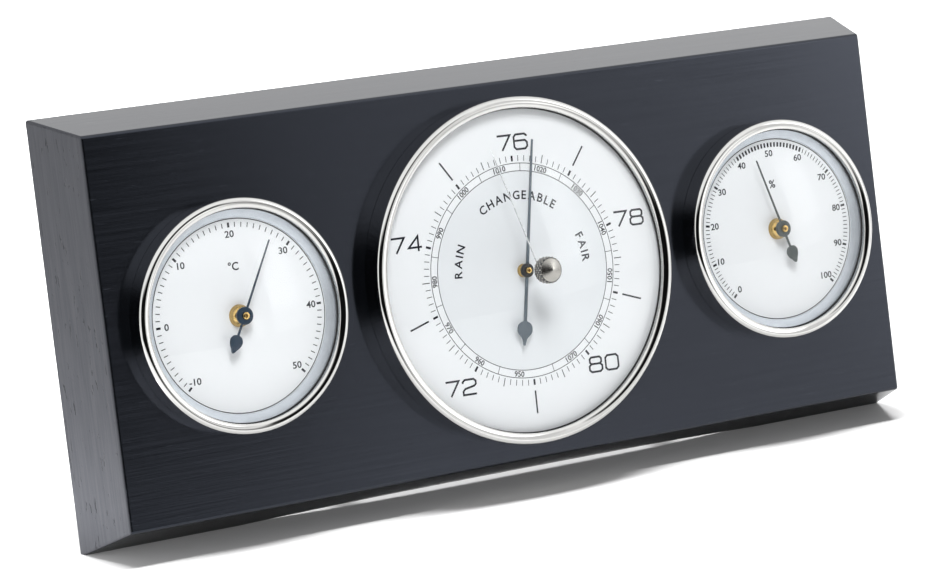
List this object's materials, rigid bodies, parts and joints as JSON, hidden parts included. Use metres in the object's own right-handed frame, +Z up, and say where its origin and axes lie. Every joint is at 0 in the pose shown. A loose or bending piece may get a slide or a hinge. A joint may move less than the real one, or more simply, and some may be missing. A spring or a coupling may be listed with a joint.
{
  "type": "desk weather station",
  "caption": "Bevelled wooden block leaning back on rear pegs, carrying a thermometer, an aneroid barometer with a setting hand and a hygrometer in a row.",
  "frame": {"origin": "centre of the bounding box at floor level", "axes": "+X along the row of gauges to the right as seen by the reader, +Z up, the dials face -Y and lean back 13 degrees"},
  "size_m": [0.2852, 0.0734, 0.1211],
  "materials": {
    "black_lacquer": "satin black lacquer over open-pored wood",
    "polished_steel": "polished",
    "satin_steel": "satin",
    "zinc_steel": "zinc plated",
    "brass": "turned",
    "copper_bronze": "drawn strip",
    "blued_steel": "matt dark blue",
    "slate_steel": "matt slate",
    "silvered_white": "silvered white, printed",
    "clear_glass": "clear",
    "black_rubber": "matt"
  },
  "bodies": {
    "block": {"wood_block": "black_lacquer", "leg_insert_left": "brass", "leg_peg_left": "satin_steel", "leg_tip_left": "black_rubber", "leg_insert_right": "brass", "leg_peg_right": "satin_steel", "leg_tip_right": "black_rubber", "thermometer_case": "zinc_steel", "thermometer_bezel": "polished_steel", "thermometer_glass": "clear_glass", "thermometer_reflector": "satin_steel", "thermometer_dial": "silvered_white", "thermometer_bush": "brass", "thermometer_bridge": "brass", "thermometer_coil": "copper_bronze", "thermometer_coil_post": "brass", "hygrometer_case": "zinc_steel", "hygrometer_bezel": "polished_steel", "hygrometer_glass": "clear_glass", "hygrometer_reflector": "satin_steel", "hygrometer_dial": "silvered_white", "hygrometer_bush": "brass", "hygrometer_bridge": "brass", "hygrometer_coil": "brass", "hygrometer_coil_post": "brass", "barometer_case": "zinc_steel", "barometer_bezel": "polished_steel", "barometer_dial": "silvered_white", "barometer_bush": "brass", "barometer_base_plate": "brass", "barometer_capsule": "copper_bronze", "barometer_adjusting_screw": "brass", "barometer_base_screw_left": "brass", "barometer_base_screw_right": "brass", "barometer_front_plate": "brass", "barometer_rear_plate": "brass", "barometer_hairspring": "blued_steel", "barometer_short_pillar_left": "brass", "barometer_short_pillar_right": "brass", "barometer_long_pillar_lower": "brass", "barometer_long_pillar_upper": "brass", "barometer_rocker_post_left": "brass", "barometer_rocker_post_right": "brass", "barometer_glass": "clear_glass", "barometer_glass_bush": "brass"},
    "thermometer_hand": {"thermometer_arbor": "brass", "thermometer_pointer": "blued_steel"},
    "hygrometer_hand": {"hygrometer_arbor": "brass", "hygrometer_pointer": "slate_steel"},
    "barometer_hand": {"barometer_arbor": "brass", "barometer_pointer": "slate_steel"},
    "sector": {"barometer_sector_gear": "brass", "barometer_sector_arbor": "satin_steel"},
    "rocker": {"barometer_rocking_shaft": "satin_steel"},
    "stem": {"barometer_capsule_stem": "brass"},
    "setting_hand": {"barometer_set_hand": "satin_steel", "barometer_set_spindle": "satin_steel", "barometer_set_knob": "polished_steel"}
  },
  "joints": [
    {"name": "thermometer_reading", "type": "hinge", "parent": "block", "child": "thermometer_hand", "pos_m": [-0.095, -0.0159, 0.06493], "axis": [0, 0.9744, -0.225], "range_deg": [-163, 107]},
    {"name": "hygrometer_reading", "type": "hinge", "parent": "block", "child": "hygrometer_hand", "pos_m": [0.095, -0.0159, 0.06493], "axis": [0, 0.9744, -0.225], "range_deg": [-117, 153]},
    {"name": "barometer_reading", "type": "hinge", "parent": "block", "child": "barometer_hand", "pos_m": [0, -0.0159, 0.06493], "axis": [0, 0.9744, -0.225], "range_deg": [-181.3, 142.7]},
    {"name": "sector_swing", "type": "hinge", "parent": "block", "child": "sector", "pos_m": [0.0144, -0.0159, 0.06493], "axis": [0, 0.9744, -0.225], "range_deg": [-18, 23]},
    {"name": "rocker_swing", "type": "hinge", "parent": "block", "child": "rocker", "pos_m": [0, -0.00828, 0.0606], "axis": [1, 0, 0], "range_deg": [-12.5, 16]},
    {"name": "stem_travel", "type": "slide", "parent": "block", "child": "stem", "axis": [0, 0.9744, -0.225], "range_m": [-0.0007, 0.00055]},
    {"name": "setting_turn", "type": "hinge", "parent": "block", "child": "setting_hand", "pos_m": [0, -0.0159, 0.06493], "axis": [0, 0.9744, -0.225], "continuous": true}
  ],
  "couplings": [
    {"joint": "sector_swing", "follows": "barometer_reading", "ratio": -0.125},
    {"joint": "rocker_swing", "follows": "barometer_reading", "ratio": -0.085526},
    {"joint": "stem_travel", "follows": "barometer_reading", "m_per_rad": 0.00021382}
  ]
}
